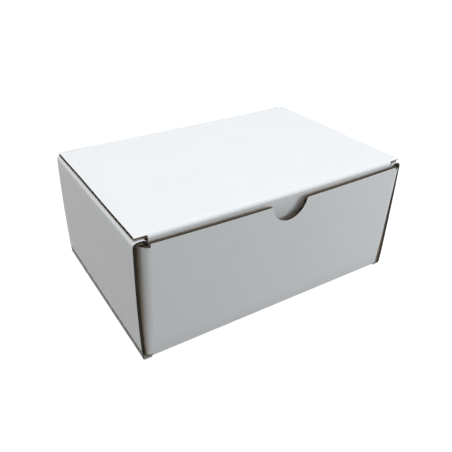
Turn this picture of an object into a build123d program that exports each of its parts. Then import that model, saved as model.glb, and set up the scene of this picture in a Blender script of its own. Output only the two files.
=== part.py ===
from build123d import *
from math import asin, cos, degrees, radians, sin, sqrt, tan
import os

# Corrugated mailer box with rolled ends and a tuck-in lid, folded from one die-cut sheet.
# It stands on the XY plane with its origin in the middle of the underside.
# +X runs along the front from left to right, +Y from front to back, and +Z up.
# The flutes of the board run along X in the bottom, lid, front and back.

# ---- Driving sizes, in millimetres and degrees ----
inside_length = 228.6       # between the two inner side panels
inside_width = 156.0        # from the tuck flap to the back wall
inside_depth = 101.6        # from the bottom panel to the lid
board = 2.8                 # thickness of the B-flute board
layer_gap = 0.3             # air between the layers of a rolled side
lid_gap = 0.2               # air between the lid and the rolled sides
tuck_setback = 0.6          # the tuck flap's fold stays this far behind the foot of the front wall
tuck_gap = 0.4              # air between the tuck flap's fold and the top of the front wall
crisp_inside = 0.4          # inside radius of a fold along the flutes
soft_inside = 2.2           # inside radius of a fold across the flutes
roll_inside = 0.8           # inside radius of the two folds on top of each side
side_setback = 0.4          # a side's raw edge stays this far behind the front or back face
front_drop = 2.2            # from the lid's underside down to the front wall's raw edge
corner_drop = 3.0           # the front wall's folded corners end this far below its raw edge
crease_gap = 0.15           # air along the crease that the lid turns on
notch_radius = 16.0         # the thumb notch, a half round below the raw edge
notch_shoulder = 2.2        # radius where the notch runs out into the raw edge
dust_flap_length = 66.0     # from the front or back face to the end of a dust flap
dust_flap_drop = 3.4        # a dust flap's top edge below the underside of the roll over it
dust_flap_corner = 8.0      # radius of a dust flap's free corners
tab_length = 34.0           # locking tab of an inner side panel, along Y
tab_spacing = 74.0          # between the middles of the two tabs of one side
tab_play = 1.0              # a slot is this much longer than its tab, at each end
tab_recess = 0.3            # a tab's end above the underside of the box
tuck_length = 45.0          # from the lid's top face down to the tuck flap's free edge
tuck_side_gap = 0.6         # air between the tuck flap and each inner side panel
tuck_corner = 14.0          # radius of the tuck flap's free corners
lid_corner_step = 1.6       # the lid's front corners end this far behind the folded edge
lid_back_step = 0.8         # the lid's back corners end this far in front of the back face
lid_slit = 0.6              # slit between each of the lid's back corners and its back fold

# ---- Sizes that follow ----
crisp_radius = board + crisp_inside
soft_radius = board + soft_inside
roll_radius = board + roll_inside
side_layers = 3 * board + 2 * layer_gap
half_length = inside_length / 2 + side_layers
half_width = (inside_width + 2 * board + tuck_setback) / 2
height = inside_depth + 2 * board
inner_face = half_length - side_layers
wall_reach = half_length - board - layer_gap
flat_reach = wall_reach - soft_radius
roll_top = height - board - lid_gap
front_height = height - board - front_drop
front_lean = degrees(asin((board + tuck_gap - tuck_setback) / front_height))
dust_flap_bottom = board + layer_gap
dust_flap_top = roll_top - board - dust_flap_drop
tuck_face = -half_width + tuck_setback
tuck_reach = inner_face - tuck_side_gap

# The tuck flap leans inwards just enough for its free edge to clear the front wall as
# the lid swings: half of its length over the distance to the back fold.
tuck_lean = asin(tuck_length / 2 / (2 * half_width))


def shifted(outline, distance):
    """The same outline, moved to its left by a distance."""
    steps = [(b - a).normalized() for a, b in zip(outline, outline[1:])]
    normals = [Vector(-step.Y, step.X) for step in steps]
    points = [outline[0] + normals[0] * distance]
    for corner, before, after in zip(outline[1:], normals, normals[1:]):
        points.append(corner + (before + after) * (distance / (1 + before.dot(after))))
    points.append(outline[-1] + normals[-1] * distance)
    return points


def folded_section(corners, radii, turn=1):
    """Section of a folded strip from the corners of its outside face: board to the left (1) or right."""
    outside = [Vector(*corner) for corner in corners]
    inside = shifted(outside, turn * board)
    edges = [
        *FilletPolyline(*outside, radius=radii).edges(),
        *FilletPolyline(*inside, radius=[radius - board for radius in radii]).edges(),
        *Line(outside[0], inside[0]).edges(),
        *Line(outside[-1], inside[-1]).edges(),
    ]
    return make_face(edges)


def along_x(section, reach):
    """A section in Y and Z, drawn out along X to both sides of the middle."""
    return extrude(Plane.YZ * section, amount=reach, both=True)


def along_y(section, low, high):
    """A section in X and Z, drawn out along Y."""
    return extrude(Plane.XZ.offset(-high) * section, amount=high - low)


def along_z(section, low, high):
    """A section in X and Y, drawn out along Z."""
    return extrude(Plane.XY.offset(low) * section, amount=high - low)


def block(low, high):
    """A box between two opposite corners, given in any order."""
    size = [abs(b - a) for a, b in zip(low, high)]
    middle = [(a + b) / 2 for a, b in zip(low, high)]
    return Pos(*middle) * Box(*size)


def rolled_sides():
    """Both sides and the bottom as one strip: up, over the top and down again inside."""
    corners = [
        (-inner_face, dust_flap_bottom),
        (-inner_face, roll_top),
        (-half_length, roll_top),
        (-half_length, 0),
        (half_length, 0),
        (half_length, roll_top),
        (inner_face, roll_top),
        (inner_face, dust_flap_bottom),
    ]
    radii = [roll_radius, roll_radius, soft_radius, soft_radius, roll_radius, roll_radius]
    end = half_width - side_setback
    strip = along_y(folded_section(corners, radii), -end, end)
    for side in (-1, 1):
        strip -= roll_clearance(side, -1, roll_top - board, inner_face + board + layer_gap / 2)
        strip -= roll_clearance(side, 1, height, wall_reach + layer_gap / 2)
    return strip


def roll_clearance(side, end, top, reach):
    """Room for the front (-1) or back (1) wall at the end of an inner side panel."""
    wall_inside = half_width - board - layer_gap
    return block(
        (side * (inner_face - 1), end * wall_inside, board),
        (side * reach, end * (half_width + 1), top),
    )


def walls_and_bottom():
    """Front wall, bottom and back wall as one strip with crisp folds."""
    lean = radians(front_lean)
    corners = [
        (-half_width - front_height * sin(lean), front_height * cos(lean)),
        (-half_width, 0),
        (half_width, 0),
        (half_width, height - crisp_radius),
    ]
    return along_x(folded_section(corners, [crisp_radius, crisp_radius]), flat_reach)


def wall_ends(end, top):
    """Both ends of the front (-1) or back (1) wall, each folded round into its dust flap."""
    outside = end * half_width
    flap_end = end * (half_width - dust_flap_length)
    corners = [
        (-wall_reach, flap_end),
        (-wall_reach, outside),
        (wall_reach, outside),
        (wall_reach, flap_end),
    ]
    if end > 0:
        corners.reverse()
    wall = along_z(folded_section(corners, [soft_radius, soft_radius]), dust_flap_bottom, top)
    flat_part = block((-flat_reach, end * half_width / 2, 0), (flat_reach, outside, top))
    return wall - flat_part - dust_flap_trim(end)


def dust_flap_trim(end):
    """What is cut away round the free shape of one wall's dust flaps."""
    reach = dust_flap_length - soft_radius
    middle = end * (half_width - soft_radius - reach / 2)
    strip = Rectangle(reach, 2 * height)
    flap = Rectangle(reach, dust_flap_top - dust_flap_bottom)
    free_corners = flap.vertices().sort_by(Axis.X)
    free_corners = free_corners[-2:] if end < 0 else free_corners[:2]
    flap = Pos(0, (dust_flap_top + dust_flap_bottom) / 2) * fillet(free_corners, dust_flap_corner)
    return along_x(Pos(middle, 0) * (strip - flap), half_length)


def back_fold(above):
    """The back fold on one side of its diagonal: the lid's half above, the tray's below."""
    ring = Circle(crisp_radius) - Circle(crisp_radius - board)
    if above:
        wedge = Polygon((0, 0), (crisp_radius, crisp_radius), (0, crisp_radius), align=None)
    else:
        wedge = Polygon((0, 0), (crisp_radius, 0), (crisp_radius, crisp_radius), align=None)
        wedge = Pos(0, -crease_gap) * wedge
    fold_centre = Pos(half_width - crisp_radius, height - crisp_radius)
    return along_x(fold_centre * (ring & wedge), flat_reach)


def thumb_notch():
    """The half-round bite out of the front wall's raw edge, with its small shoulders."""
    reach = sqrt((notch_radius + notch_shoulder) ** 2 - notch_shoulder**2)
    drop = notch_radius * notch_shoulder / (notch_radius + notch_shoulder)
    throat = Pos(0, (1 - drop) / 2) * Rectangle(2 * reach, 1 + drop)
    for side in (-1, 1):
        throat -= Pos(side * reach, -notch_shoulder) * Circle(notch_shoulder)
    shape = Pos(0, front_height) * (Circle(notch_radius) + throat)
    return along_y(shape, -half_width - 2 * board, -half_width + 2 * board)


def locking_tab(side, end, length, thickness, low, high):
    """A tab at the foot of an inner side panel, or the slot in the bottom that takes it."""
    middle_x = side * (inner_face + board / 2)
    middle_y = end * tab_spacing / 2
    return block(
        (middle_x - thickness / 2, middle_y - length / 2, low),
        (middle_x + thickness / 2, middle_y + length / 2, high),
    )


def make_tray():
    """Everything but the lid: one folded piece."""
    tray = rolled_sides()
    tray -= block((-flat_reach, -half_width, 0), (flat_reach, half_width, board))
    tray += walls_and_bottom()
    lean = Pos(0, -half_width) * Rot(X=front_lean) * Pos(0, half_width)
    tray += lean * wall_ends(-1, front_height - corner_drop)
    tray += wall_ends(1, height - crisp_radius)
    tray += back_fold(above=False)
    tray -= thumb_notch()
    for side in (-1, 1):
        for end in (-1, 1):
            slot_length = tab_length + 2 * tab_play
            tray -= locking_tab(side, end, slot_length, board + 2 * layer_gap, -1, board)
            tray += locking_tab(side, end, tab_length, board, tab_recess, dust_flap_bottom + 1)
    return tray


def tuck_strip():
    """The lid's front fold and the tuck flap below it, with its rounded free corners."""
    tip_y = tuck_face + tuck_length * tan(tuck_lean)
    corners = [
        (tip_y, height - tuck_length),
        (tuck_face, height),
        (tuck_face + 2 * crisp_radius, height),
    ]
    strip = along_x(folded_section(corners, [crisp_radius], turn=-1), tuck_reach)
    outline = Rectangle(2 * tuck_reach, 2 * tuck_length)
    free_corners = outline.vertices().sort_by(Axis.Y)[:2]
    outline = Pos(0, height) * fillet(free_corners, tuck_corner)
    return strip & along_y(outline, -half_width, half_width)


def make_lid():
    """Lid panel, its half of the back fold, its front fold and the tuck flap, as one piece."""
    lid = block(
        (-half_length, tuck_face + lid_corner_step, height - board),
        (half_length, half_width - lid_back_step, height),
    )
    lid -= block(
        (-flat_reach - lid_slit, half_width - crisp_radius, height - board),
        (flat_reach + lid_slit, half_width, height),
    )
    lid -= block(
        (-tuck_reach, tuck_face, height - board),
        (tuck_reach, tuck_face + 2 * crisp_radius, height),
    )
    lid += tuck_strip()
    lid += back_fold(above=True)
    return lid


os.makedirs("parts", exist_ok=True)
tray = make_tray()
lid = make_lid()
for name, piece in {"tray": tray, "lid": lid}.items():
    print(name, piece.is_valid, len(piece.solids()), round(piece.volume), piece.bounding_box())
    export_step(piece, f"parts/{name}.step")
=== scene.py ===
# %% [markdown]
# # A corrugated mailer box
# The real box is one die-cut sheet: bottom, walls, rolled sides and lid fold up and lock without
# glue. Corrugated board is three papers: a white outside liner, a wavy fluting and a brown inside
# liner. The plan here is to make those three papers for every panel, so that each raw edge shows
# its flutes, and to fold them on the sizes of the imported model.

from math import asin, cos, pi, radians, sin, sqrt, tan

import bmesh
import bpy
from mathutils import Matrix, Vector


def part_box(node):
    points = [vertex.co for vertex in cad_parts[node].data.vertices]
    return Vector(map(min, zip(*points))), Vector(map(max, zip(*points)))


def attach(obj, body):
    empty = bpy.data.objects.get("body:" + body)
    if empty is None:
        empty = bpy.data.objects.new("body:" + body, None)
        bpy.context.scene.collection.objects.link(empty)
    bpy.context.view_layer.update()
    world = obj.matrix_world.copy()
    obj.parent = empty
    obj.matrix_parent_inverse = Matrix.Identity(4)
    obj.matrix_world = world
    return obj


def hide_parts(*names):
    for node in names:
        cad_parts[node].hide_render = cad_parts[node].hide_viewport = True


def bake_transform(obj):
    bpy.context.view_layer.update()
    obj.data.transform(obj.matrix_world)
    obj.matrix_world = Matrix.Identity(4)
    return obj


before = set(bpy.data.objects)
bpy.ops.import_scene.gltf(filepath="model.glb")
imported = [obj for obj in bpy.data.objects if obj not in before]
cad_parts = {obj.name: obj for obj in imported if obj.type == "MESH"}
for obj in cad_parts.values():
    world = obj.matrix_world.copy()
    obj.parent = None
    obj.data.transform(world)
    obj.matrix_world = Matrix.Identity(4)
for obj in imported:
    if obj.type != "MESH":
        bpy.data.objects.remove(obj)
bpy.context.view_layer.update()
MM = 0.001

# %% [markdown]
# ## Sizes
# The outside sizes are read from the tray and the lid. The board, the gaps and the small radii
# are the box maker's own numbers, so they are named here once and everything else follows.

# %% Sizes read from the frame, and the board's own sizes
tray_low, tray_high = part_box("tray")
lid_low, lid_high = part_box("lid")
half_length = tray_high.x
half_width = tray_high.y
height = lid_high.z

board = 2.8 * MM
liner = 0.28 * MM
layer_gap = 0.3 * MM
lid_gap = 0.2 * MM
crisp_radius = board + 0.4 * MM
soft_radius = board + 2.2 * MM
roll_radius = board + 0.8 * MM
side_setback = 0.4 * MM
front_drop = 2.2 * MM
corner_drop = 3.0 * MM
notch_radius = 16 * MM
notch_shoulder = 2.2 * MM
dust_flap_length = 66 * MM
dust_flap_drop = 3.4 * MM
tab_length = 34 * MM
tab_spacing = 74 * MM
tuck_length = 45 * MM
tuck_setback = 0.6 * MM
tuck_side_gap = 0.6 * MM
tuck_corner = 14 * MM
lid_corner_step = 1.6 * MM
lid_back_step = 0.8 * MM
lid_slit = 0.6 * MM
flute_pitch = 6.4 * MM

inner_face = half_length - 3 * board - 2 * layer_gap
wall_reach = half_length - board - layer_gap
flat_reach = wall_reach - soft_radius
roll_top = height - board - lid_gap
front_height = height - board - front_drop
dust_flap_low = board + layer_gap
dust_flap_high = roll_top - board - dust_flap_drop
tuck_face = -half_width + tuck_setback
tuck_reach = inner_face - tuck_side_gap
tuck_lean = asin(tuck_length / 2 / (2 * half_width))
front_lean = asin((-tray_low.y - half_width) / front_height)
print(f"box {2000 * half_length:.1f} x {2000 * half_width:.1f} x {1000 * height:.1f} mm")

# %% [markdown]
# ## Camera and light
# The camera stands in front of the box's left corner and looks down on it. The lens is short of
# normal, and a small shift frames the box without tilting it. One broad lamp above, one in front
# to the right and a weak warm one on the left give a bright top, a middle-grey front and a darker
# left side.

# %% Camera
camera_azimuth = radians(30.2)
camera_elevation = radians(28.5)
camera_place = Vector((-0.2311, -0.3432, 0.2918))
camera_data = bpy.data.cameras.new("camera")
camera_data.lens = 41.55
camera_data.sensor_width = 36.0
camera_data.shift_x = 0.0682
camera_data.shift_y = -0.0672
camera_data.clip_start = 0.01
camera = bpy.data.objects.new("camera", camera_data)
camera.location = camera_place
camera.rotation_euler = (pi / 2 - camera_elevation, 0, -camera_azimuth)
bpy.context.collection.objects.link(camera)
scene = bpy.context.scene
scene.camera = camera
scene.view_settings.view_transform = "Standard"
print("camera at", [round(c, 3) for c in camera_place])


# %% Lamps
def area_lamp(name, place, target, size, power, color):
    """A square soft lamp that points from its place at a target."""
    data = bpy.data.lights.new(name, "AREA")
    data.size = size
    data.energy = power
    data.color = color
    lamp = bpy.data.objects.new(name, data)
    lamp.location = place
    lamp.rotation_euler = (Vector(target) - Vector(place)).to_track_quat("-Z", "Y").to_euler()
    bpy.context.collection.objects.link(lamp)
    return lamp


box_middle = (0, 0, height / 2)
front_right = (half_length, -half_width, height / 2)
area_lamp("top_lamp", (-0.1, 0.0, 1.4), box_middle, 1.0, 12.5, (0.95, 0.98, 1.0))
area_lamp("front_lamp", (0.55, -0.75, 0.35), front_right, 0.4, 2.9, (0.96, 0.99, 1.0))
area_lamp("left_lamp", (-1.3, 0.1, 0.4), box_middle, 0.8, 1.2, (1.0, 0.93, 0.78))
print("three soft lamps")

# %% [markdown]
# ## World and floor
# Both are white to the camera only. To every other ray the sky is a soft grey and the floor is
# dark, so that faces and folds which look down at the floor stay dark, as on a real product table.


# %% World
def white_to_camera(tree, plain, seen):
    """Mixes two shaders: the second for camera and mirror rays, the first for all other rays."""
    path = tree.nodes.new("ShaderNodeLightPath")
    either = tree.nodes.new("ShaderNodeMath")
    either.operation = "MAXIMUM"
    mix = tree.nodes.new("ShaderNodeMixShader")
    tree.links.new(path.outputs["Is Camera Ray"], either.inputs[0])
    tree.links.new(path.outputs["Is Glossy Ray"], either.inputs[1])
    tree.links.new(either.outputs[0], mix.inputs["Fac"])
    tree.links.new(plain.outputs[0], mix.inputs[1])
    tree.links.new(seen.outputs[0], mix.inputs[2])
    return mix


def background(tree, color, strength):
    """A background shader of one colour and strength."""
    node = tree.nodes.new("ShaderNodeBackground")
    node.inputs["Color"].default_value = (*color, 1)
    node.inputs["Strength"].default_value = strength
    return node


world = bpy.data.worlds.new("white_studio")
world.use_nodes = True
world.node_tree.nodes.clear()
scene.world = world
sky = background(world.node_tree, (0.97, 0.985, 1.0), 0.43)
white_sky = background(world.node_tree, (1, 1, 1), 1.0)
world_out = world.node_tree.nodes.new("ShaderNodeOutputWorld")
sky_mix = white_to_camera(world.node_tree, sky, white_sky)
world.node_tree.links.new(sky_mix.outputs[0], world_out.inputs["Surface"])
print("world: grey light, white to the camera")


# %% Floor
floor_mesh = bpy.data.meshes.new("floor")
floor_bm = bmesh.new()
bmesh.ops.create_grid(floor_bm, x_segments=1, y_segments=1, size=4.0)
floor_bm.to_mesh(floor_mesh)
floor_bm.free()
floor = bpy.data.objects.new("floor", floor_mesh)
bpy.context.collection.objects.link(floor)
floor_material = bpy.data.materials.new("floor_paper")
floor_material.use_nodes = True
floor_tree = floor_material.node_tree
floor_tree.nodes.clear()
dark_floor = floor_tree.nodes.new("ShaderNodeBsdfDiffuse")
dark_floor.inputs["Color"].default_value = (0.16, 0.16, 0.15, 1)
white_floor = floor_tree.nodes.new("ShaderNodeEmission")
white_floor.inputs["Strength"].default_value = 0.97
pale_floor = floor_tree.nodes.new("ShaderNodeBsdfDiffuse")
pale_floor.inputs["Color"].default_value = (0.2, 0.2, 0.2, 1)
seen_floor = floor_tree.nodes.new("ShaderNodeAddShader")
floor_tree.links.new(white_floor.outputs[0], seen_floor.inputs[0])
floor_tree.links.new(pale_floor.outputs[0], seen_floor.inputs[1])
floor_mix = white_to_camera(floor_tree, dark_floor, seen_floor)
floor_out = floor_tree.nodes.new("ShaderNodeOutputMaterial")
floor_tree.links.new(floor_mix.outputs[0], floor_out.inputs["Surface"])
floor_mesh.materials.append(floor_material)
print("floor laid at z = 0")

# %% [markdown]
# ## Paper finishes
# White liner, brown liner and fluting are all paper, so they share one node group: it mottles the
# colour with long fibres and puts out a height for the bump. The flutes below also show through
# as faint ridges one flute apart, which the group adds from a wave across the board.


# %% Shared paper group
def add_socket(group, name, kind, direction, value=None):
    """One named input or output of a node group."""
    socket = group.interface.new_socket(name=name, in_out=direction, socket_type=kind)
    if value is not None:
        socket.default_value = value
    return socket


def math_node(tree, operation, first, second, clamp=False):
    """A math node; each side is a socket or a number."""
    node = tree.nodes.new("ShaderNodeMath")
    node.operation = operation
    node.use_clamp = clamp
    for side, value in enumerate((first, second)):
        if isinstance(value, (int, float)):
            node.inputs[side].default_value = value
        else:
            tree.links.new(value, node.inputs[side])
    return node.outputs[0]


def mix_color(tree, factor, first, second):
    """A colour mix; factor and colours are sockets or values."""
    node = tree.nodes.new("ShaderNodeMix")
    node.data_type = "RGBA"
    for key, value in (("Factor_Float", factor), ("A_Color", first), ("B_Color", second)):
        socket = next(s for s in node.inputs if s.identifier == key)
        if hasattr(value, "is_output"):
            tree.links.new(value, socket)
        else:
            socket.default_value = value
    return next(s for s in node.outputs if s.identifier == "Result_Color")


def build_paper_group():
    """Fibres, cloudiness and flute ridges for any paper of the board."""
    group = bpy.data.node_groups.new("paper_surface", "ShaderNodeTree")
    add_socket(group, "Position", "NodeSocketVector", "INPUT")
    add_socket(group, "Across flutes", "NodeSocketFloat", "INPUT")
    add_socket(group, "Paper", "NodeSocketColor", "INPUT", (0.8, 0.8, 0.8, 1))
    add_socket(group, "Fibre", "NodeSocketColor", "INPUT", (0.7, 0.7, 0.7, 1))
    add_socket(group, "Fibre amount", "NodeSocketFloat", "INPUT", 0.1)
    add_socket(group, "Ridge height", "NodeSocketFloat", "INPUT", 0.3)
    add_socket(group, "Color", "NodeSocketColor", "OUTPUT")
    add_socket(group, "Height", "NodeSocketFloat", "OUTPUT")
    given = group.nodes.new("NodeGroupInput")
    result = group.nodes.new("NodeGroupOutput")

    stretch = group.nodes.new("ShaderNodeMapping")
    stretch.inputs["Scale"].default_value = (260, 900, 900)
    group.links.new(given.outputs["Position"], stretch.inputs["Vector"])
    fibre = group.nodes.new("ShaderNodeTexNoise")
    fibre.inputs["Scale"].default_value = 1.0
    fibre.inputs["Detail"].default_value = 3.0
    group.links.new(stretch.outputs[0], fibre.inputs["Vector"])
    cloud = group.nodes.new("ShaderNodeTexNoise")
    cloud.inputs["Scale"].default_value = 28.0
    cloud.inputs["Detail"].default_value = 2.0
    group.links.new(given.outputs["Position"], cloud.inputs["Vector"])

    speckle = math_node(group, "ADD", fibre.outputs["Fac"], cloud.outputs["Fac"])
    spread = math_node(group, "MULTIPLY", math_node(group, "SUBTRACT", speckle, 0.7), 1.6, clamp=True)
    amount = math_node(group, "MULTIPLY", spread, given.outputs["Fibre amount"])
    color = mix_color(group, amount, given.outputs["Paper"], given.outputs["Fibre"])
    group.links.new(color, result.inputs["Color"])

    angle = math_node(group, "MULTIPLY", given.outputs["Across flutes"], 2 * pi / flute_pitch)
    ridge = math_node(group, "SINE", angle, 0.0)
    ridges = math_node(group, "MULTIPLY", ridge, given.outputs["Ridge height"])
    ripple = math_node(group, "MULTIPLY", fibre.outputs["Fac"], 0.35)
    group.links.new(math_node(group, "ADD", ridges, ripple), result.inputs["Height"])
    return group


paper_group = build_paper_group()
print("paper group with", len(paper_group.nodes), "nodes")


# %% Paper materials
def paper(name, color, fibre, amount, ridge, roughness, across="Y", bump=0.12):
    """A paper finish: colour and fibre tone, ridges across one axis, and how rough its face is."""
    material = bpy.data.materials.new(name)
    material.use_nodes = True
    tree = material.node_tree
    shader = tree.nodes["Principled BSDF"]
    shader.inputs["Roughness"].default_value = roughness
    shader.inputs["Specular IOR Level"].default_value = 0.35
    place = tree.nodes.new("ShaderNodeTexCoord")
    axes = tree.nodes.new("ShaderNodeSeparateXYZ")
    tree.links.new(place.outputs["Object"], axes.inputs[0])
    surface = tree.nodes.new("ShaderNodeGroup")
    surface.name = "surface"
    surface.node_tree = paper_group
    surface.inputs["Paper"].default_value = (*color, 1)
    surface.inputs["Fibre"].default_value = (*fibre, 1)
    surface.inputs["Fibre amount"].default_value = amount
    surface.inputs["Ridge height"].default_value = ridge
    tree.links.new(place.outputs["Object"], surface.inputs["Position"])
    tree.links.new(axes.outputs[across], surface.inputs["Across flutes"])
    relief = tree.nodes.new("ShaderNodeBump")
    relief.inputs["Strength"].default_value = bump
    relief.inputs["Distance"].default_value = 0.1 * MM
    tree.links.new(surface.outputs["Height"], relief.inputs["Height"])
    tree.links.new(relief.outputs["Normal"], shader.inputs["Normal"])
    tree.links.new(surface.outputs["Color"], shader.inputs["Base Color"])
    return material


WHITE = (0.79, 0.80, 0.815)
WHITE_FIBRE = (0.73, 0.735, 0.74)
BROWN = (0.40, 0.30, 0.20)
BROWN_FIBRE = (0.27, 0.19, 0.12)
white_flat = paper("white_liner_flat", WHITE, WHITE_FIBRE, 0.35, 0.5, 0.5)
white_upright = paper("white_liner_upright", WHITE, WHITE_FIBRE, 0.35, 0.5, 0.5, across="Z")
white_side = paper("white_liner_side", WHITE, WHITE_FIBRE, 0.35, 0.5, 0.5)
brown_flat = paper("brown_liner_flat", BROWN, BROWN_FIBRE, 0.6, 0.6, 0.8, bump=0.3)
brown_upright = paper("brown_liner_upright", BROWN, BROWN_FIBRE, 0.6, 0.6, 0.8, across="Z", bump=0.3)
# Fluting and cut edges: kraft brown darkened to near black, painted shade of the flute hollows and the gaps between
# the papers.
fluting_painted_shade = paper("fluting_painted_shade", (0.045, 0.042, 0.034), (0.03, 0.028, 0.022), 0.6, 0.0, 0.9, bump=0.3)
cut_edge_painted_shade = paper("cut_edge_painted_shade", (0.045, 0.042, 0.034), (0.03, 0.028, 0.022), 0.6, 0.0, 0.9, bump=0.3)
print("seven paper finishes")


# %% Painted shade along the fold at the foot of each side
def add_painted_fold_shade(material, color):
    """Paints a ragged grey-brown shade along the crushed fold where a side meets the bottom."""
    tree = material.node_tree
    place = tree.nodes.new("ShaderNodeTexCoord")
    axes = tree.nodes.new("ShaderNodeSeparateXYZ")
    tree.links.new(place.outputs["Object"], axes.inputs[0])
    rag = tree.nodes.new("ShaderNodeTexNoise")
    rag.inputs["Scale"].default_value = 180.0
    rag.inputs["Detail"].default_value = 4.0
    tree.links.new(place.outputs["Object"], rag.inputs["Vector"])
    ragged = math_node(tree, "MULTIPLY", math_node(tree, "SUBTRACT", rag.outputs["Fac"], 0.5), 5 * MM)
    edge = math_node(tree, "ADD", ragged, fold_rise)
    below = math_node(tree, "SUBTRACT", edge, axes.outputs["Z"])
    low = math_node(tree, "MULTIPLY", below, 1 / MM, clamp=True)
    across = math_node(tree, "ABSOLUTE", axes.outputs["X"], 0.0)
    outer = math_node(tree, "SUBTRACT", across, half_length - board)
    outer = math_node(tree, "MULTIPLY", outer, 1 / MM, clamp=True)
    patchy = math_node(tree, "MULTIPLY", rag.outputs["Fac"], 1.9, clamp=True)
    mask = math_node(tree, "MULTIPLY", math_node(tree, "MULTIPLY", low, outer), patchy)
    surface = tree.nodes["surface"]
    shaded = mix_color(tree, mask, surface.outputs["Color"], (*color, 1))
    tree.links.new(shaded, tree.nodes["Principled BSDF"].inputs["Base Color"])


fold_rise = 9.5 * MM
# A near-black grey-brown painted shade on each outer side's lower fold, up to about fold_rise, with a ragged top.
add_painted_fold_shade(white_side, (0.075, 0.07, 0.055))
print(f"side folds scuffed up to about {1000 * fold_rise:.1f} mm")

# %% [markdown]
# ## Folding a strip of paper
# A fold is drawn as a bent line: a few corner points, each rounded with a vertex bevel whose
# width gives the wanted radius. Extruding the line's edges sideways, a step at a time, makes the
# sheet with enough faces to bow later, and a Solidify modifier gives it the paper's thickness.


# %% Bent lines
AXES = {"YZ": Vector((1, 0, 0)), "XZ": Vector((0, 1, 0)), "XY": Vector((0, 0, 1))}


def place_in(plane, point, level):
    """A point drawn in one plane, at a level along the third axis."""
    first, second = point
    if plane == "YZ":
        return Vector((level, first, second))
    if plane == "XZ":
        return Vector((first, level, second))
    return Vector((first, second, level))


def shifted(corners, distance):
    """The same bent line, moved to its left by a distance."""
    steps = [(Vector(b) - Vector(a)).normalized() for a, b in zip(corners, corners[1:])]
    normals = [Vector((-step.y, step.x)) for step in steps]
    points = [Vector(corners[0]) + normals[0] * distance]
    for corner, before, after in zip(corners[1:], normals, normals[1:]):
        points.append(Vector(corner) + (before + after) * (distance / (1 + before.dot(after))))
    points.append(Vector(corners[-1]) + normals[-1] * distance)
    return points


def bent_line(bm, plane, corners, radii, level):
    """Corner points joined by edges, with every inner corner rounded to its radius."""
    verts = [bm.verts.new(place_in(plane, corner, level)) for corner in corners]
    for a, b in zip(verts, verts[1:]):
        bm.edges.new((a, b))
    for index, radius in enumerate(radii, start=1):
        if radius == 0:
            continue
        before = Vector(corners[index]) - Vector(corners[index - 1])
        after = Vector(corners[index + 1]) - Vector(corners[index])
        bmesh.ops.bevel(
            bm, geom=[verts[index]], offset=radius * tan(before.angle(after) / 2),
            offset_type="OFFSET", segments=6, profile=0.5, affect="VERTICES",
            clamp_overlap=False, material=-1,
        )
    bmesh.ops.remove_doubles(bm, verts=bm.verts, dist=0.01 * MM)
    bm.verts.ensure_lookup_table()


print("bent lines are drawn in the planes", ", ".join(AXES))


# %% Folded sheets
def draw_out(bm, path, steps):
    """Extrudes all of the line's edges along a path vector in equal steps."""
    edges = list(bm.edges)
    for _ in range(steps):
        made = bmesh.ops.extrude_edge_only(bm, edges=edges)["geom"]
        moved = {g for g in made if isinstance(g, bmesh.types.BMVert)}
        edges = [g for g in made if isinstance(g, bmesh.types.BMEdge) and moved.issuperset(g.verts)]
        bmesh.ops.translate(bm, verts=list(moved), vec=path / steps)


def folded_sheet(plane, corners, radii, low, high, depth=0.0, step=12 * MM):
    """A bent line drawn out into a sheet whose faces point to the right of the line.

    A depth moves the sheet into the board, on the left, and tightens its folds to match."""
    bm = bmesh.new()
    line = shifted(corners, depth)
    bent_line(bm, plane, line, [max(r - depth, 0) for r in radii], low)
    for edge in [e for e in bm.edges if e.calc_length() > 12 * MM]:
        bmesh.ops.subdivide_edges(bm, edges=[edge], cuts=int(edge.calc_length() / (12 * MM)))
    draw_out(bm, AXES[plane] * (high - low), max(1, round((high - low) / step)))
    first_step = line[1] - line[0]
    right = place_in(plane, (first_step.y, -first_step.x), 0)
    start = place_in(plane, line[0], low)
    bmesh.ops.recalc_face_normals(bm, faces=bm.faces)
    first_corner = min(bm.verts, key=lambda vertex: (vertex.co - start).length)
    if first_corner.link_faces[0].normal.dot(right) < 0:
        bmesh.ops.reverse_faces(bm, faces=bm.faces)
    bm.normal_update()
    return bm


def join_sheets(sheets):
    """Several sheets as one bmesh."""
    whole = bmesh.new()
    for sheet in sheets:
        mesh = bpy.data.meshes.new("sheet")
        sheet.to_mesh(mesh)
        sheet.free()
        whole.from_mesh(mesh)
        bpy.data.meshes.remove(mesh)
    return whole


def add_piece(name, bm, material, thickness=liner, upright=None):
    """Puts a sheet in the scene as a piece with a real thickness, measured inwards.

    Its cut edges get their own finish, and so do its upright faces when one is given."""
    mesh = bpy.data.meshes.new(name)
    bm.normal_update()
    for face in bm.faces:
        face.material_index = 1 if upright and abs(face.normal.z) < 0.7 else 0
    bm.to_mesh(mesh)
    bm.free()
    piece = bpy.data.objects.new(name, mesh)
    bpy.context.collection.objects.link(piece)
    for finish in (material, upright or material, cut_edge_painted_shade, cut_edge_painted_shade):
        mesh.materials.append(finish)
    sheet = piece.modifiers.new("paper_thickness", "SOLIDIFY")
    sheet.thickness = thickness
    sheet.offset = -1
    sheet.material_offset_rim = 2
    return piece


print(f"liners are {1000 * liner:.2f} mm thick")

# %% [markdown]
# ## Cutting
# The die cuts slots, slits, the thumb notch and the rounded flap corners. Each cutter is a small
# closed shape and a Boolean modifier takes it away, so a sheet can be drawn whole first and then
# cut as the die does it. The same cutters cut all three papers, so their edges stay in line.


# %% Cutters
def cutter_solid(bm):
    """A closed bmesh as a plain object to cut with."""
    bmesh.ops.recalc_face_normals(bm, faces=bm.faces)
    for face in bm.faces:
        face.material_index = 2
    mesh = bpy.data.meshes.new("cutter")
    bm.to_mesh(mesh)
    bm.free()
    tool = bpy.data.objects.new("cutter", mesh)
    bpy.context.collection.objects.link(tool)
    return tool


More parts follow.
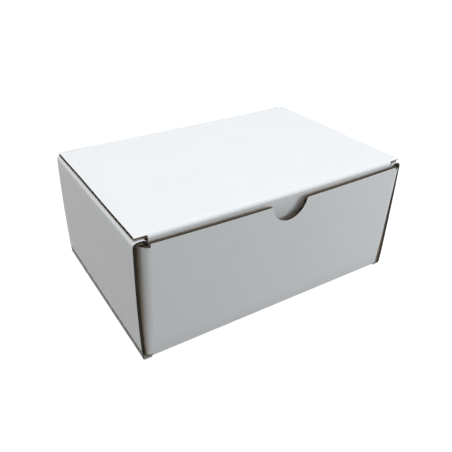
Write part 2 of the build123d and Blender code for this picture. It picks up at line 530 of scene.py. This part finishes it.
def box_cutter(low, high):
    """A box between two opposite corners, given in any order."""
    bm = bmesh.new()
    bmesh.ops.create_cube(bm, size=1.0)
    size = Vector([abs(b - a) for a, b in zip(low, high)])
    bmesh.ops.scale(bm, vec=size, verts=bm.verts)
    bmesh.ops.translate(bm, vec=(Vector(low) + Vector(high)) / 2, verts=bm.verts)
    return cutter_solid(bm)


def outline_cutter(plane, corners, radii, low, high):
    """An outline with rounded corners, closed from its last point to its first and drawn out."""
    bm = bmesh.new()
    bent_line(bm, plane, corners, radii, low)
    bm.edges.new([v for v in bm.verts if len(v.link_edges) == 1])
    bmesh.ops.contextual_create(bm, geom=list(bm.edges))
    made = bmesh.ops.extrude_face_region(bm, geom=list(bm.faces))["geom"]
    moved = [g for g in made if isinstance(g, bmesh.types.BMVert)]
    bmesh.ops.translate(bm, verts=moved, vec=AXES[plane] * (high - low))
    return cutter_solid(bm)


def bake_modifiers(piece):
    """Replaces a piece's mesh by what its modifiers make of it."""
    bpy.context.view_layer.update()
    graph = bpy.context.evaluated_depsgraph_get()
    made = bpy.data.meshes.new_from_object(piece.evaluated_get(graph))
    piece.modifiers.clear()
    piece.data = made


def cut(piece, tools, operation="DIFFERENCE"):
    """Cuts a piece with its tools for good, and removes them."""
    for tool in tools:
        step = piece.modifiers.new("cut", "BOOLEAN")
        step.operation = operation
        step.solver = "EXACT"
        step.object = tool
    bake_modifiers(piece)
    for tool in tools:
        bpy.data.objects.remove(tool)


print("cutters ready")

# %% [markdown]
# ## How a folded box settles
# Board springs back a little at every fold, so the outer sides lean out, one more than the
# other, the front wall bellies, and the lid's front edge bulges forwards. All three papers of a panel
# get the same small move, which keeps them together.


# %% Settling
side_lean = {-1: 2.0 * MM, 1: 1.5 * MM}
front_shift = 1.5 * MM
front_belly = 2.4 * MM
lid_belly = 1.0 * MM
lid_wander = 0.25 * MM


def settle_tray(co):
    """Outer sides that lean out, and a front wall that bellies most in the middle of its raw edge."""
    side = 1 if co.x > 0 else -1
    over_roll = (abs(co.x) - inner_face - board) / (2 * board)
    if co.z < roll_top - roll_radius:
        over_roll = 1.0 if abs(co.x) > wall_reach + layer_gap / 2 else 0.0
    over_roll = max(0.0, min(1.0, over_roll))
    if co.z > board:
        upward = min(1.0, (co.z - board) / (0.75 * roll_top))
        co.x += side * side_lean[side] * sin(upward * pi / 2) * over_roll
    if co.y < -half_width + 1.3 * board:
        across = max(0.0, 1 - (co.x / flat_reach) ** 2)
        co.y -= front_belly * across * max(0.0, co.z / front_height) ** 1.5


def settle_front(co):
    """The front wall and its corners also stand a hair to the right, more so higher up."""
    from_face = (co.y + half_width) / soft_radius
    upward = min(1.0, co.z / (0.3 * height))
    co.x += front_shift * max(0.0, min(1.0, 1 - from_face)) * upward
    settle_tray(co)


def settle_lid(co):
    """A folded front edge that bulges forwards, and side edges that wander by a hair."""
    across = max(0.0, 1 - (co.x / half_length) ** 2)
    forward = max(0.0, min(1.0, (-co.y - half_width / 2) / (half_width / 2)))
    co.y -= lid_belly * across * forward**2
    edge = (co.x / half_length) ** 6
    co.z += lid_wander * edge * sin(co.y / half_width * 4.4 + 0.6) * (1 - forward**4)


def settle_fold(co):
    """The fold between back wall and lid stays where it is."""
    return co


def finish_piece(piece, settle):
    """Bakes, settles and smooths a piece."""
    if piece.modifiers:
        bake_modifiers(piece)
    for vertex in piece.data.vertices:
        settle(vertex.co)
    for polygon in piece.data.polygons:
        polygon.use_smooth = True
    piece.data.set_sharp_from_angle(angle=radians(35))
    triangles = sum(len(polygon.vertices) - 2 for polygon in piece.data.polygons)
    print(f"{piece.name}: {triangles} triangles")
    return piece


def on_tray(piece, settle=settle_tray):
    """Settles a piece with the tray and hangs it there."""
    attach(finish_piece(piece, settle), "tray")
    return piece


def on_lid(piece):
    """Settles a piece with the lid and hangs it there."""
    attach(finish_piece(piece, settle_lid), "lid")
    return piece


print(f"the left side leans out {1000 * side_lean[-1]:.1f} mm, the front bellies {1000 * front_belly:.1f} mm")

# %% [markdown]
# ## Fluting
# The wavy paper between the liners starts as a flat line with eight cuts a flute, pushed up and
# down as a sine wave and then drawn out along the flutes. It stops short of each fold across
# it, where the press has crushed it flat.

# %% Fluting sheets
flute_paper = 0.2 * MM
flute_rise = (board - 2 * liner - flute_paper) / 2


def fluting_panel(corner, along, across):
    """Fluting of one flat panel: its flutes run along one vector, side by side across the other."""
    side_way = across.normalized()
    normal = along.cross(across).normalized()
    bm = bmesh.new()
    edge = bm.edges.new([bm.verts.new(corner), bm.verts.new(corner + across)])
    bmesh.ops.subdivide_edges(bm, edges=[edge], cuts=int(8 * across.length / flute_pitch))
    for vertex in bm.verts:
        phase = 2 * pi * (vertex.co - corner).dot(side_way) / flute_pitch
        vertex.co += normal * flute_rise * sin(phase)
    draw_out(bm, along, max(1, round(along.length / (15 * MM))))
    return bm


def fluting_round_folds(corners, radii, low, high):
    """Fluting whose flutes follow a folded strip, in the middle of the board."""
    bm = folded_sheet("XZ", corners, radii, low, high, board / 2, flute_pitch / 8)
    moves = {v: v.normal * flute_rise * sin(2 * pi * v.co.y / flute_pitch) for v in bm.verts}
    for vertex, move in moves.items():
        vertex.co += move
    return bm


def add_fluting(name, bm):
    """A fluting piece, with its paper's thickness on both sides of the wave."""
    piece = add_piece(name, bm, fluting_painted_shade, flute_paper)
    piece.modifiers["paper_thickness"].offset = 0
    return piece


print(f"flutes {1000 * flute_pitch:.1f} mm apart, {2000 * flute_rise:.2f} mm high")

# %% [markdown]
# ## The tray's rolled sides
# Each side is folded over twice: up on the outside, across the top, and down again inside, with
# the white face outwards all the way. One bent line through both sides and the bottom gives the
# white paper, and the same line moved into the board gives the brown one. The lower folds run
# across the flutes, so they don't bend crisply: the press leaves a crushed band there, a little
# behind the side's face, and its white paper gets a painted dark grey-brown shade.

# %% Outline of the rolled sides
side_end = half_width - side_setback
crush = 0.3 * MM
left_corners = [
    (-inner_face, dust_flap_low),
    (-inner_face, roll_top),
    (-half_length, roll_top),
    (-half_length, fold_rise),
    (-half_length + crush, fold_rise - crush),
    (-half_length + crush, 0),
]
roll_corners = left_corners + [(-x, z) for x, z in reversed(left_corners)]
left_radii = [roll_radius, roll_radius, 0, 0, 0.3 * soft_radius + board / 2]
roll_radii = left_radii + left_radii[::-1]
print("roll", round(1000 * (half_length - inner_face), 2), "mm wide")


# %% Cutters of the rolled sides
def roll_cutters():
    """Room for the front and back walls, and the middle of the bottom."""
    wall_inside = half_width - board - layer_gap
    inner_reach = inner_face + board + layer_gap / 2
    outer_reach = wall_reach + layer_gap / 2
    tools = [box_cutter((-flat_reach, -half_width - MM, -MM), (flat_reach, half_width + MM, 1.5 * board))]
    for side in (-1, 1):
        for end, reach, top in ((-1, inner_reach, roll_top - board), (1, outer_reach, height)):
            tools.append(
                box_cutter(
                    (side * (inner_face - MM), end * wall_inside, 1.5 * board),
                    (side * reach, end * (half_width + MM), top),
                )
            )
    return tools


def slot_cutters():
    """The four slots in the bottom that take the tabs."""
    tools = []
    for side in (-1, 1):
        for end in (-1, 1):
            middle_x = side * (inner_face + board / 2)
            middle_y = end * tab_spacing / 2
            half_slot = tab_length / 2 + MM
            tools.append(
                box_cutter(
                    (middle_x - board / 2 - layer_gap, middle_y - half_slot, -MM),
                    (middle_x + board / 2 + layer_gap, middle_y + half_slot, 1.02 * board),
                )
            )
    return tools


# %% Rolled sides in three papers
sides_white = add_piece("sides_white", folded_sheet("XZ", roll_corners, roll_radii, -side_end, side_end), white_side)
cut(sides_white, roll_cutters())
cut(sides_white, slot_cutters())
on_tray(sides_white)

sides_brown = add_piece(
    "sides_brown",
    folded_sheet("XZ", roll_corners, roll_radii, -side_end, side_end, board - liner),
    brown_flat,
)
cut(sides_brown, roll_cutters())
cut(sides_brown, slot_cutters())
on_tray(sides_brown)

left_roll = left_corners[:4]
right_roll = [(-x, z) for x, z in reversed(left_roll)]
side_flutes = [
    fluting_round_folds(corners, [roll_radius, roll_radius], -side_end, side_end)
    for corners in (left_roll, right_roll)
]
sides_fluting = add_fluting("sides_fluting", join_sheets(side_flutes))
cut(sides_fluting, roll_cutters())
on_tray(sides_fluting)


# %% Locking tabs
def tab_sheets(depth):
    """The four tabs at the feet of the inner side panels, at one depth in the board."""
    sheets = []
    for end in (-1, 1):
        low = end * tab_spacing / 2 - tab_length / 2
        left = [(-inner_face, tab_recess), (-inner_face, dust_flap_low)]
        right = [(inner_face, dust_flap_low), (inner_face, tab_recess)]
        for foot in (left, right):
            sheets.append(folded_sheet("XZ", foot, [], low, low + tab_length, depth))
    return sheets


tab_recess = 0.3 * MM
on_tray(add_piece("tabs_white", join_sheets(tab_sheets(0)), white_side))
on_tray(add_piece("tabs_brown", join_sheets(tab_sheets(board - liner)), brown_flat))
on_tray(add_fluting("tabs_fluting", join_sheets(tab_sheets(board / 2))))

# %% [markdown]
# ## Front wall, bottom and back wall
# These three panels are one strip with crisp folds, because the folds run along the flutes. The
# front wall leans out a little, held off by the tuck flap behind it, and the thumb notch is
# bitten out of its raw top edge with a small rounded shoulder on each side.

# %% Strip of front wall, bottom and back wall
wall_corners = [
    (-half_width - front_height * sin(front_lean), front_height * cos(front_lean)),
    (-half_width, 0),
    (half_width, 0),
    (half_width, height - crisp_radius),
]
wall_radii = [crisp_radius, crisp_radius]


def notch_cutter():
    """The thumb notch: a half round below the raw edge, with a small shoulder on each side."""
    both = notch_radius + notch_shoulder
    reach = sqrt(both**2 - notch_shoulder**2)
    lip = notch_radius * both / reach
    foot = notch_radius * (reach**2 - notch_radius * notch_shoulder) / (reach * both)
    bottom = front_height - notch_radius
    right = [
        (foot, bottom),
        (lip, front_height),
        (lip + both / 2, front_height),
        (lip + both / 2, front_height + board),
    ]
    corners = [(-x, z) for x, z in reversed(right)] + right
    radii = [0, notch_shoulder, notch_radius, notch_radius, notch_shoulder, 0]
    return outline_cutter("XZ", corners, radii, -half_width - 3 * board, -half_width + 2 * board)


walls_white = add_piece(
    "walls_white",
    folded_sheet("YZ", wall_corners, wall_radii, -flat_reach, flat_reach),
    white_flat,
    upright=white_upright,
)
cut(walls_white, [notch_cutter()])
on_tray(walls_white, settle_front)

walls_brown = add_piece(
    "walls_brown",
    folded_sheet("YZ", wall_corners, wall_radii, -flat_reach, flat_reach, board - liner),
    brown_flat,
    upright=brown_upright,
)
cut(walls_brown, [notch_cutter()])
on_tray(walls_brown, settle_front)

# %% Fluting of the walls and the bottom
inward = Vector((0, cos(front_lean), sin(front_lean))) * board / 2
up_front = Vector((0, -sin(front_lean), cos(front_lean)))
along_x = Vector((2 * flat_reach, 0, 0))
front_foot = Vector((-flat_reach, -half_width, 0)) + inward + up_front * crisp_radius
front_flutes = fluting_panel(front_foot, along_x, up_front * (front_height - crisp_radius))
front_fluting = add_fluting("front_fluting", front_flutes)
cut(front_fluting, [notch_cutter()])
on_tray(front_fluting, settle_front)

back_foot = Vector((-flat_reach, half_width - board / 2, crisp_radius))
back_flutes = fluting_panel(back_foot, along_x, Vector((0, 0, height - 2 * crisp_radius)))
bottom_corner = Vector((-flat_reach, -half_width + crisp_radius, board / 2))
bottom_flutes = fluting_panel(bottom_corner, along_x, Vector((0, 2 * (half_width - crisp_radius), 0)))
on_tray(add_fluting("floor_and_back_fluting", join_sheets([back_flutes, bottom_flutes])))

# %% [markdown]
# ## Wall ends and dust flaps
# Each end of the front and back wall bends softly round its corner and runs back inside the
# rolled side as a dust flap. Its flutes lie level, so its free end shows them open. One outline
# cuts the step from wall to flap and the flap's two round corners.


# %% Dust flaps
def flap_line(side, end):
    """The bent line round one corner, from wall to flap or back, with the board on its left."""
    outside = end * half_width
    line = [(side * wall_reach, end * (half_width - dust_flap_length)), (side * wall_reach, outside)]
    line.append((side * flat_reach, outside))
    return line if side * end > 0 else line[::-1]


def flap_outline(end, top):
    """What is kept of a wall end and its flap, seen from the side."""
    fold = end * (half_width - soft_radius)
    free_end = end * (half_width - dust_flap_length)
    beyond = end * (half_width + MM)
    corners = [
        (beyond, dust_flap_low),
        (beyond, top),
        (fold, top),
        (fold, dust_flap_high),
        (free_end, dust_flap_high),
        (free_end, dust_flap_low),
        (fold, dust_flap_low),
    ]
    free_corner = 8 * MM
    radii = [0, 0, 0, free_corner, free_corner]
    return outline_cutter("YZ", corners, radii, -half_length, half_length)


def lean_front(piece):
    """Turns the front wall's ends with it, about its foot."""
    foot = Matrix.Translation((0, -half_width, 0))
    piece.data.transform(foot @ Matrix.Rotation(front_lean, 4, "X") @ foot.inverted())


def flap_fluting(side, end):
    """The level fluting of one dust flap."""
    corner = Vector((side * (wall_reach - board / 2), end * (half_width - soft_radius), 0))
    along = Vector((0, -end * (dust_flap_length - soft_radius + MM), 0))
    return fluting_panel(corner, along, Vector((0, 0, height)))


for end, where, top in ((-1, "front", front_height - corner_drop), (1, "back", height - crisp_radius)):
    for tone, depth, finish in (("white", 0, white_upright), ("brown", board - liner, brown_upright)):
        corners_of_wall = [
            folded_sheet("XY", flap_line(side, end), [soft_radius], 0, height, depth) for side in (-1, 1)
        ]
        flaps = add_piece(f"{where}_flaps_{tone}", join_sheets(corners_of_wall), finish)
        cut(flaps, [flap_outline(end, top)], "INTERSECT")
        if end < 0:
            lean_front(flaps)
        on_tray(flaps, settle_front)
    flutes = add_fluting(f"{where}_flaps_fluting", join_sheets([flap_fluting(side, end) for side in (-1, 1)]))
    cut(flutes, [flap_outline(end, top)], "INTERSECT")
    if end < 0:
        lean_front(flutes)
    on_tray(flutes, settle_front)

# %% [markdown]
# ## The lid and its tuck flap
# The lid lies over the rolled sides as one flat panel. Its front edge folds down crisply into the
# tuck flap, which leans back a little so that it can slip in behind the front wall. The lid's
# side edges are cut across the flutes, so they show the wave of the fluting from end to end.

# %% Outline of the lid
lid_back = half_width - lid_back_step
lid_corners = [
    (lid_back, height),
    (tuck_face, height),
    (tuck_face + tuck_length * tan(tuck_lean), height - tuck_length),
]


def lid_cutters():
    """Front corners, back slits, the middle of the back edge, and the tuck flap's round corners."""
    tools = [
        box_cutter(
            (-flat_reach - lid_slit, half_width - crisp_radius, height - 2 * board),
            (flat_reach + lid_slit, half_width + MM, height + MM),
        )
    ]
    free_edge = height - tuck_length
    for side in (-1, 1):
        tools.append(
            box_cutter(
                (side * tuck_reach, tuck_face - 2 * MM, free_edge - 2 * MM),
                (side * (half_length + MM), tuck_face + lid_corner_step, height + MM),
            )
        )
        tools.append(
            box_cutter(
                (side * tuck_reach, tuck_face - 2 * MM, free_edge - 2 * MM),
                (side * (half_length + MM), tuck_face + 5 * board, height - 1.5 * board),
            )
        )
        corners = [
            (side * (tuck_reach - tuck_corner - MM), free_edge - 2 * MM),
            (side * (tuck_reach - tuck_corner - MM), free_edge),
            (side * tuck_reach, free_edge),
            (side * tuck_reach, free_edge + tuck_corner + MM),
            (side * (half_length + 2 * MM), free_edge + tuck_corner + MM),
            (side * (half_length + 2 * MM), free_edge - 2 * MM),
        ]
        radii = [0, tuck_corner, 0, 0]
        tools.append(outline_cutter("XZ", corners, radii, tuck_face - MM, tuck_face + 5 * board))
    return tools


print("lid", round(2000 * half_length, 1), "mm long; tuck flap", round(1000 * tuck_length, 1), "mm")

# %% Lid in three papers
lid_white = add_piece(
    "lid_white",
    folded_sheet("YZ", lid_corners, [crisp_radius], -half_length, half_length),
    white_flat,
    upright=white_upright,
)
cut(lid_white, lid_cutters())
on_lid(lid_white)

lid_brown = add_piece(
    "lid_brown",
    folded_sheet("YZ", lid_corners, [crisp_radius], -half_length, half_length, board - liner),
    brown_flat,
    upright=brown_upright,
)
cut(lid_brown, lid_cutters())
on_lid(lid_brown)

lid_flutes = fluting_panel(
    Vector((-half_length, tuck_face + lid_corner_step, height - board / 2)),
    Vector((2 * half_length, 0, 0)),
    Vector((0, lid_back - tuck_face - lid_corner_step, 0)),
)
lid_fluting = add_fluting("lid_fluting", lid_flutes)
fold_room = box_cutter(
    (-tuck_reach, tuck_face, height - board), (tuck_reach, tuck_face + 1.2 * crisp_radius, height)
)
cut(lid_fluting, lid_cutters() + [fold_room])
on_lid(lid_fluting)

down_flap = Vector((0, sin(tuck_lean), -cos(tuck_lean)))
tuck_inward = Vector((0, cos(tuck_lean), sin(tuck_lean))) * board / 2
tuck_top = Vector((-tuck_reach, tuck_face, height)) + tuck_inward + down_flap * 1.2 * crisp_radius
tuck_run = tuck_length / cos(tuck_lean) - 1.2 * crisp_radius
tuck_flutes = fluting_panel(tuck_top, Vector((2 * tuck_reach, 0, 0)), down_flap * tuck_run)
tuck_fluting = add_fluting("tuck_fluting", tuck_flutes)
cut(tuck_fluting, lid_cutters())
on_lid(tuck_fluting)

# %% [markdown]
# ## The fold that the lid turns on
# The back fold's two liners are short strips of their own; they are not hung on the tray or the lid.

# %% Back fold
fold_corners = [(half_width, height - crisp_radius), (half_width, height), (half_width - crisp_radius, height)]
for tone, depth, finish in (("white", 0, white_upright), ("brown", board - liner, brown_upright)):
    strip = folded_sheet("YZ", fold_corners, [crisp_radius], -flat_reach, flat_reach, depth)
    back_fold = add_piece(f"back_fold_{tone}", strip, finish)
    finish_piece(back_fold, settle_fold)
    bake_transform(back_fold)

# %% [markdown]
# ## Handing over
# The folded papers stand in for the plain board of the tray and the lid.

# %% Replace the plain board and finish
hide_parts("tray")
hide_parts("lid")
